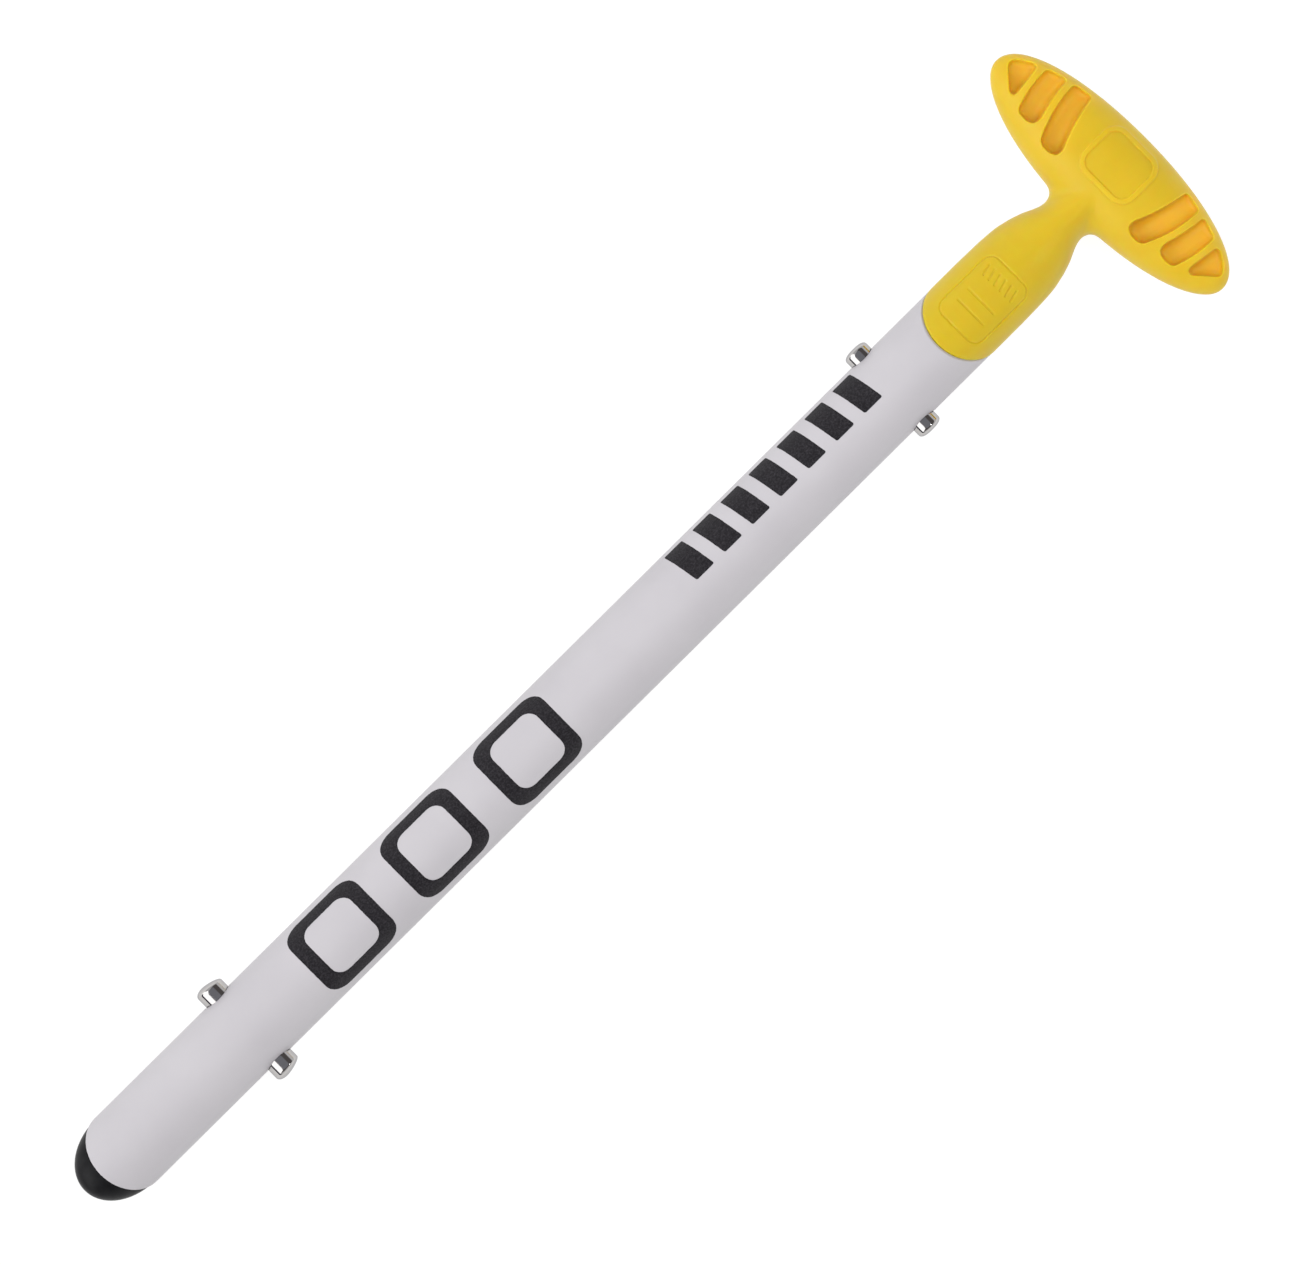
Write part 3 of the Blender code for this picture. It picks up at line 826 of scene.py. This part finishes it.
def printed_bars():
    """Row of plain leaning bars on the upper half of the tube, on the +Y side of its front line."""
    steps, columns = 60, 8
    pitch = (BARS_END - BARS_START) / (BARS_COUNT - 1 + BARS_SHARE)
    half_s = pitch * BARS_SHARE / 2 * MM
    for k in range(BARS_COUNT):
        centre = ((BARS_START + pitch * (k + BARS_SHARE / 2)) * MM, BARS_ARC)
        rows = []
        for j in range(steps + 1):
            arc = BARS_HALF_ARC * math.sin(math.pi * (j / steps - 0.5))
            past = max(0.0, abs(arc) - BARS_HALF_ARC + BARS_CORNER)
            reach = half_s - BARS_CORNER + math.sqrt(max(0.0, BARS_CORNER ** 2 - past ** 2))
            row = []
            for i in range(columns + 1):
                s = reach * (2 * i / columns - 1)
                spot = (centre[0] + s + BARS_LEAN * arc, centre[1] + arc)
                edge = rough(spot, 10 + k) if i in (0, columns) or j in (0, steps) else 0.0
                row.append((spot[0] + edge, spot[1] + edge / 2))
            rows.append(row)
        name = f"printed_bar_{k + 1}"
        add_piece(name, grid_sheet(name, rows), INK, "root")


# ---------------------------------------------------------------- spring clips
def plate(bm, outline, low, high):
    """Closed prism on an outline in the XZ plane, from one Y to another."""
    rings = [[bm.verts.new((x, y, z)) for x, z in outline] for y in (low, high)]
    bridge(bm, rings)
    for ring in rings:
        bm.faces.new(ring)
    bmesh.ops.recalc_face_normals(bm, faces=bm.faces)


def button(clip, side):
    """Polished round button along Y; its rounded cap may lean towards the tip."""
    count, steps = 96, 26
    radius = (clip["high"] - clip["low"]) / 2
    middle = at((clip["low"] + clip["high"]) / 2)
    base, height = TUBE_R + clip["wall"], clip["cap"] - clip["wall"]
    profile = [(ARM_Y, 1.0, 0.0), (TUBE_R - WALL, 1.0, 0.0)]
    profile += [(TUBE_R + clip["wall"] * k / 4, 1.0, 0.0) for k in range(5)]
    for k in range(1, steps):
        angle = math.pi / 2 * k / steps
        rise = math.sin(angle) ** (2 / clip["power"])
        share = math.cos(angle) ** (2 / clip["power"])
        profile.append((base + height * rise, share, clip["lean"] * rise ** 1.5))
    turns = [2 * math.pi * k / count for k in range(count)]
    bm = bmesh.new()
    rings = []
    for y, share, shift in profile:
        rings.append([bm.verts.new((middle - shift + radius * share * math.cos(turn), side * y,
                                    AXIS_Z + radius * share * math.sin(turn))) for turn in turns])
    bridge(bm, rings)
    bm.faces.new(rings[0])
    fan(bm, rings[-1], (middle - clip["lean"], side * (base + height), AXIS_Z))
    return mesh_from(bm, "button")


def clip_arm(clip, side_name, side):
    """One arm of the U-bent strip, with a round end that carries its button."""
    direction = 1 if clip["bend"] < clip["low"] else -1
    start, middle = at(clip["bend"] + direction * GAP), at((clip["low"] + clip["high"]) / 2)
    pad = (clip["high"] - clip["low"]) / 2 + PAD_MARGIN
    neck = math.asin(STRIP_HALF / pad)
    facing = math.pi if direction > 0 else 0.0
    outline = [(start, AXIS_Z - direction * STRIP_HALF), (start, AXIS_Z + direction * STRIP_HALF)]
    for k in range(57):
        angle = facing - neck + (2 * neck - 2 * math.pi) * k / 56
        outline.append((middle + pad * math.cos(angle), AXIS_Z + pad * math.sin(angle)))
    bm = bmesh.new()
    plate(bm, outline, *sorted((side * (ARM_Y - STRIP / 2), side * (ARM_Y + STRIP / 2))))
    rims = [e for e in bm.edges if abs(e.verts[0].co.y - e.verts[1].co.y) < STRIP / 2]
    bmesh.ops.bevel(bm, geom=rims, offset=0.14 * MM, segments=2, profile=0.5, affect="EDGES")
    mesh = boolean(mesh_from(bm, "arm"), button(clip, side), "UNION")
    name = f"{clip['name']}_{side_name}_spring"
    return add_piece(name, mesh, STEEL, f"{clip['name']}_{side_name}_button",
                     (f"{clip['name']}_clip_arm_{side_name}",), 32.0)


# ---------------------------------------------------------------- stage, light and camera
def stage():
    """Wide white sheet just under the part."""
    mesh = bpy.data.meshes.new("floor")
    corners = [(x * FLOOR_HALF, y * FLOOR_HALF, 0) for x, y in ((-1, -1), (1, -1), (1, 1), (-1, 1))]
    mesh.from_pydata(corners, [], [(0, 1, 2, 3)])
    mesh.materials.append(floor_paper())
    floor = bpy.data.objects.new("floor", mesh)
    floor.location.z = cad_box[0][2] - 0.02 * MM
    bpy.context.scene.collection.objects.link(floor)


def area_light(name, direction, distance, size, power):
    """Square soft light that looks at the middle of the shaft from a direction."""
    light = bpy.data.lights.new(name, "AREA")
    light.size = size
    light.energy = power
    obj = bpy.data.objects.new(name, light)
    target = Vector((0.0, 0.0, AXIS_Z))
    obj.location = target + Vector(direction).normalized() * distance
    obj.rotation_euler = (target - obj.location).to_track_quat("-Z", "Y").to_euler()
    bpy.context.scene.collection.objects.link(obj)
    return obj


class Sky:
    """Short way to build the world's colour from its direction."""

    def __init__(self, tree):
        self.tree = tree
        coordinates = tree.nodes.new("ShaderNodeTexCoord")
        parts = tree.nodes.new("ShaderNodeSeparateXYZ")
        tree.links.new(coordinates.outputs["Generated"], parts.inputs[0])
        self.x, self.y, self.z = parts.outputs

    def operate(self, operation, a, b):
        node = self.tree.nodes.new("ShaderNodeMath")
        node.operation = operation
        for socket, value in zip(node.inputs, (a, b)):
            if isinstance(value, float):
                socket.default_value = value
            else:
                self.tree.links.new(value, socket)
        return node.outputs[0]

    def add(self, a, b):
        return self.operate("ADD", a, b)

    def scale(self, a, b):
        return self.operate("MULTIPLY", a, b)

    def step(self, value, start, end):
        """Smooth rise from 0 at start to 1 at end."""
        node = self.tree.nodes.new("ShaderNodeMapRange")
        node.interpolation_type = "SMOOTHSTEP"
        node.inputs["From Min"].default_value = min(start, end)
        node.inputs["From Max"].default_value = max(start, end)
        node.inputs["To Min"].default_value = 0.0 if start < end else 1.0
        node.inputs["To Max"].default_value = 1.0 if start < end else 0.0
        self.tree.links.new(value, node.inputs["Value"])
        return node.outputs["Result"]

    def mix(self, share, a, b):
        """Colour between a and b, each a colour or a node's output."""
        node = self.tree.nodes.new("ShaderNodeMix")
        node.data_type = "RGBA"
        self.tree.links.new(share, node.inputs["Factor"])
        for name, value in (("A", a), ("B", b)):
            socket = next(s for s in node.inputs if s.name == name and s.type == "RGBA")
            if isinstance(value, tuple):
                socket.default_value = (*value, 1.0)
            else:
                self.tree.links.new(value, socket)
        return next(s for s in node.outputs if s.type == "RGBA")

    def finish(self, color):
        background = self.tree.nodes["Background"]
        self.tree.links.new(color, background.inputs["Color"])
        background.inputs["Strength"].default_value = 1.0


def lights():
    """Soft white studio: bright beyond the tip and beside the shaft, dim around the camera."""
    world = bpy.data.worlds.new("studio")
    world.use_nodes = True
    sky = Sky(world.node_tree)
    around = sky.step(sky.z, 0.90, 0.84)                # away from straight overhead
    low = sky.step(sky.z, 0.46, 0.36)                   # near the floor
    toward_boxes = sky.add(sky.scale(sky.x, -1 / 0.53), sky.scale(sky.y, 1 / 0.40))
    in_boxes = sky.step(toward_boxes, 0.92, 1.12)       # the soft boxes: past the tip and to the +Y side
    past_tip = sky.step(sky.x, -0.25, -0.50)
    gap = sky.scale(sky.step(sky.z, 0.30, 0.24), sky.step(sky.x, -0.6, -0.8))
    color = sky.mix(around, CEILING, ROOM)
    color = sky.mix(low, color, WALL_WHITE)
    color = sky.mix(in_boxes, color, sky.mix(past_tip, SIDE_WHITE, TIP_WHITE))
    color = sky.mix(gap, color, DARK_LINE)
    sky.finish(color)
    bpy.context.scene.world = world
    area_light("key", (-0.62, 0.30, 0.85), 1.8, 0.7, KEY_POWER)
    area_light("fill", (0.42, -0.50, 0.80), 2.0, 0.26, FILL_POWER)
    area_light("top", (0.20, -0.02, 1.0), 2.0, 1.0, TOP_POWER).visible_glossy = False


def camera():
    """Camera square to the shaft's front, a long way off."""
    data = bpy.data.cameras.new("camera")
    data.lens = LENS
    data.sensor_width = SENSOR
    data.clip_start = 0.01
    obj = bpy.data.objects.new("camera", data)
    distance = FRAME_WIDTH * LENS / SENSOR
    obj.location = (at(CAMERA_STATION), CAMERA_Y, AXIS_Z + distance)
    obj.rotation_euler = (0.0, 0.0, -SHAFT_ANGLE)
    bpy.context.scene.collection.objects.link(obj)
    bpy.context.scene.camera = obj
    bpy.context.scene.view_settings.view_transform = "Standard"


camera()
stage()
lights()
shaft_tube()
end_plug()
t_grip()
printed_frames()
printed_bars()
for clip in CLIPS:
    for side_name, side in (("left", 1), ("right", -1)):
        clip_arm(clip, side_name, side)
    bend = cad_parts[f"{clip['name']}_clip_bend"]
    bend.data.materials.clear()
    bend.data.materials.append(STEEL)
